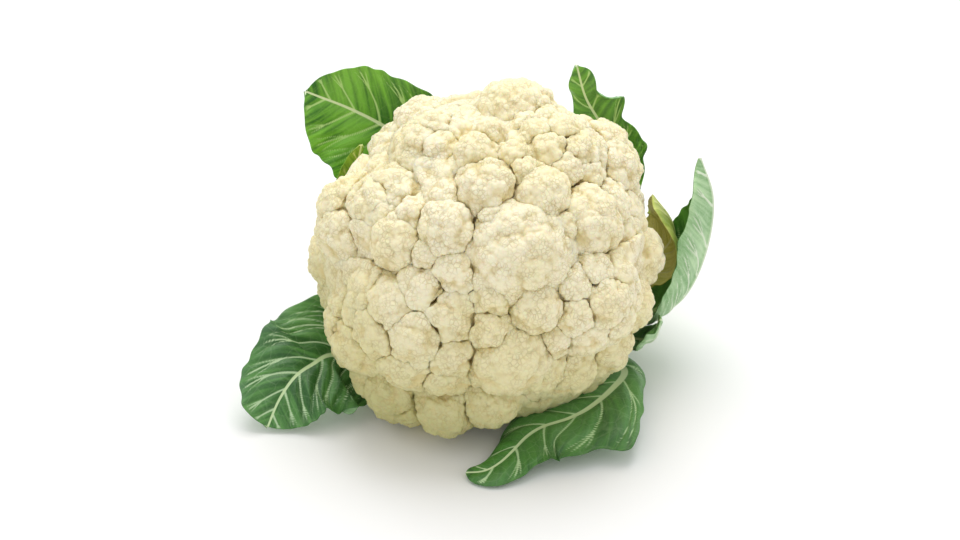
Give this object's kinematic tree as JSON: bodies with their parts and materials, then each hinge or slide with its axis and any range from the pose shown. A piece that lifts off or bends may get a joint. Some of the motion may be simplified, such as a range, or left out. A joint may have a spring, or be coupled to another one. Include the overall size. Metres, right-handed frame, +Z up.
{
  "type": "cauliflower",
  "caption": "Whole fresh cauliflower: a cream curd of packed florets on a short cut stalk, with loose green leaves spread round it.",
  "frame": {"origin": "centre of the stalk's flat cut, on the surface that the cauliflower stands on", "axes": "+Z up, out of the surface; the curd leans 15 degrees towards -Y and 3 degrees towards +X, so -Y is the front"},
  "size_m": [0.2212, 0.2178, 0.1502],
  "materials": {
    "curd": null,
    "stalk": "moist pale green cut stalk with leaf scars",
    "leaf_green": "waxy, deep green upper side with pale veins",
    "leaf_pale": "waxy, blue-grey bloom on the outer side, with raised pale veins",
    "leaf_young": "thin young leaf, yellow green to olive"
  },
  "bodies": {
    "root": {"curd": "curd", "stalk": "stalk", "leaf_back_left": "leaf_green", "leaf_inner_left": "leaf_young", "leaf_front_left": "leaf_green", "leaf_front_right": "leaf_green", "leaf_right_low": "leaf_pale", "leaf_right": "leaf_pale", "leaf_inner_right": "leaf_young", "leaf_back_right": "leaf_green", "leaf_back": "leaf_green"}
  },
  "joints": []
}
